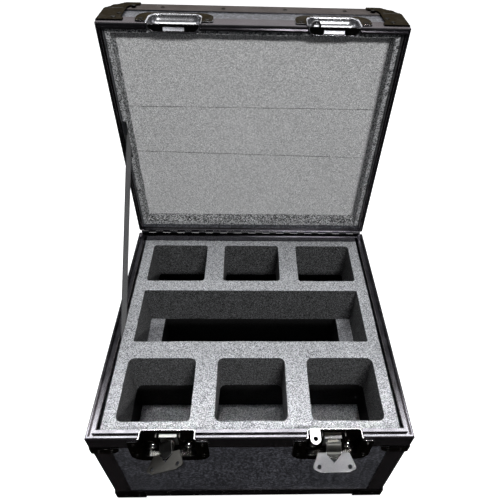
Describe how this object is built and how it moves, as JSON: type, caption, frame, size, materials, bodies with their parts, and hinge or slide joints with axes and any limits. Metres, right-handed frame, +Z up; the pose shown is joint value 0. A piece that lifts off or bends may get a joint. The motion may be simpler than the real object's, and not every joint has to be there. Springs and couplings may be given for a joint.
{
  "type": "battery flight case",
  "caption": "Laminated plywood flight case with metal edging, hinged lid on a webbing stay, recessed twist latches, side handles and a foam insert with deep battery pockets.",
  "frame": {"origin": "centre of the bottom panel's underside", "axes": "-Y out of the front with the latches, +X to the right seen from the front, +Z up; the lid stands open at a right angle"},
  "size_m": [0.453, 0.5285, 0.6541],
  "materials": {
    "black_laminate": "plywood faced with fine-grained black laminate",
    "black_aluminium": "black anodised, satin",
    "black_steel": "gloss black coated steel",
    "bright_steel": "bright plated",
    "light_foam": "closed-cell foam, light grey, matte",
    "dark_foam": "closed-cell foam, mid grey, matte",
    "webbing": "woven webbing, dark grey"
  },
  "bodies": {
    "base": {"base_bottom_panel": "black_laminate", "base_front_panel": "black_laminate", "base_back_panel": "black_laminate", "base_left_panel": "black_laminate", "base_right_panel": "black_laminate", "base_edge_frame": "black_aluminium", "base_rim": "black_aluminium", "base_rim_middle": "black_aluminium", "bottom_corner_front_right": "black_steel", "bottom_corner_back_right": "black_steel", "bottom_corner_back_left": "black_steel", "bottom_corner_front_left": "black_steel", "rim_brace_front_right": "black_steel", "rim_brace_back_right": "black_steel", "rim_brace_back_left": "black_steel", "rim_brace_front_left": "black_steel", "latch_dish_left": "black_steel", "latch_dish_right": "black_steel", "handle_dish_left": "black_steel", "handle_dish_right": "black_steel", "hinge_base_leaf": "black_steel", "latch_plate_left": "bright_steel", "latch_plate_right": "bright_steel", "padlock_tab_base": "bright_steel", "hinge_pin": "bright_steel", "stay_bush_base": "bright_steel", "foam_top_sheet": "light_foam", "foam_middle_sheet": "dark_foam", "foam_floor_pad": "light_foam", "stay_strap": "webbing"},
    "lid": {"lid_top_panel": "black_laminate", "lid_front_panel": "black_laminate", "lid_back_panel": "black_laminate", "lid_left_panel": "black_laminate", "lid_right_panel": "black_laminate", "lid_edge_frame": "black_aluminium", "lid_rim": "black_aluminium", "lid_rim_middle": "black_aluminium", "lid_corner_front_right": "black_steel", "lid_corner_back_right": "black_steel", "lid_corner_back_left": "black_steel", "lid_corner_front_left": "black_steel", "keeper_dish_left": "black_steel", "keeper_dish_right": "black_steel", "hinge_lid_leaf": "black_steel", "lid_foam_edging": "dark_foam", "lid_foam_pad_front": "light_foam", "lid_foam_pad_middle": "light_foam", "lid_foam_pad_back": "light_foam", "stay_bush_lid": "bright_steel"},
    "latch_turn_left": {"latch_spindle_left": "bright_steel", "latch_fold_pin_left": "bright_steel"},
    "latch_claw_left": {"latch_claw_left": "bright_steel"},
    "latch_grip_left": {"latch_grip_left": "bright_steel"},
    "handle_bail_left": {"handle_bail_left": "black_steel"},
    "latch_turn_right": {"latch_spindle_right": "bright_steel", "latch_fold_pin_right": "bright_steel"},
    "latch_claw_right": {"latch_claw_right": "bright_steel"},
    "latch_grip_right": {"latch_grip_right": "bright_steel"},
    "handle_bail_right": {"handle_bail_right": "black_steel"}
  },
  "joints": [
    {"name": "lid_hinge", "type": "hinge", "parent": "base", "child": "lid", "pos_m": [0, 0.2033, 0.238], "axis": [1, 0, 0], "range_deg": [0, 90], "deforming": ["stay_strap"]},
    {"name": "latch_turn_left", "type": "hinge", "parent": "base", "child": "latch_turn_left", "pos_m": [-0.115, -0.1995, 0.2143], "axis": [0, -1, 0], "range_deg": [-63, 117]},
    {"name": "latch_turn_right", "type": "hinge", "parent": "base", "child": "latch_turn_right", "pos_m": [0.115, -0.1995, 0.2143], "axis": [0, -1, 0], "range_deg": [0, 180]},
    {"name": "latch_claw_left", "type": "slide", "parent": "base", "child": "latch_claw_left", "axis": [0, 0, 1], "range_m": [-0.007, 0.013]},
    {"name": "latch_claw_right", "type": "slide", "parent": "base", "child": "latch_claw_right", "axis": [0, 0, 1], "range_m": [0, 0.02]},
    {"name": "latch_fold_left", "type": "hinge", "parent": "latch_turn_left", "child": "latch_grip_left", "pos_m": [-0.115, -0.1995, 0.2143], "axis": [-0.866, 0, -0.5], "range_deg": [-67, 3]},
    {"name": "latch_fold_right", "type": "hinge", "parent": "latch_turn_right", "child": "latch_grip_right", "pos_m": [0.115, -0.1995, 0.2143], "axis": [-1, 0, 0], "range_deg": [-70, 25]},
    {"name": "handle_swing_left", "type": "hinge", "parent": "base", "child": "handle_bail_left", "pos_m": [-0.2184, 0, 0.148], "axis": [0, 1, 0], "range_deg": [0, 90], "stiffness_Nm_per_rad": 0.06, "springref_deg": -17.19},
    {"name": "handle_swing_right", "type": "hinge", "parent": "base", "child": "handle_bail_right", "pos_m": [0.2184, 0, 0.148], "axis": [0, -1, 0], "range_deg": [0, 90], "stiffness_Nm_per_rad": 0.06, "springref_deg": -17.19}
  ],
  "couplings": [
    {"joint": "latch_claw_left", "follows": "latch_turn_left", "m_per_rad": 0.006366},
    {"joint": "latch_claw_right", "follows": "latch_turn_right", "m_per_rad": 0.006366}
  ]
}
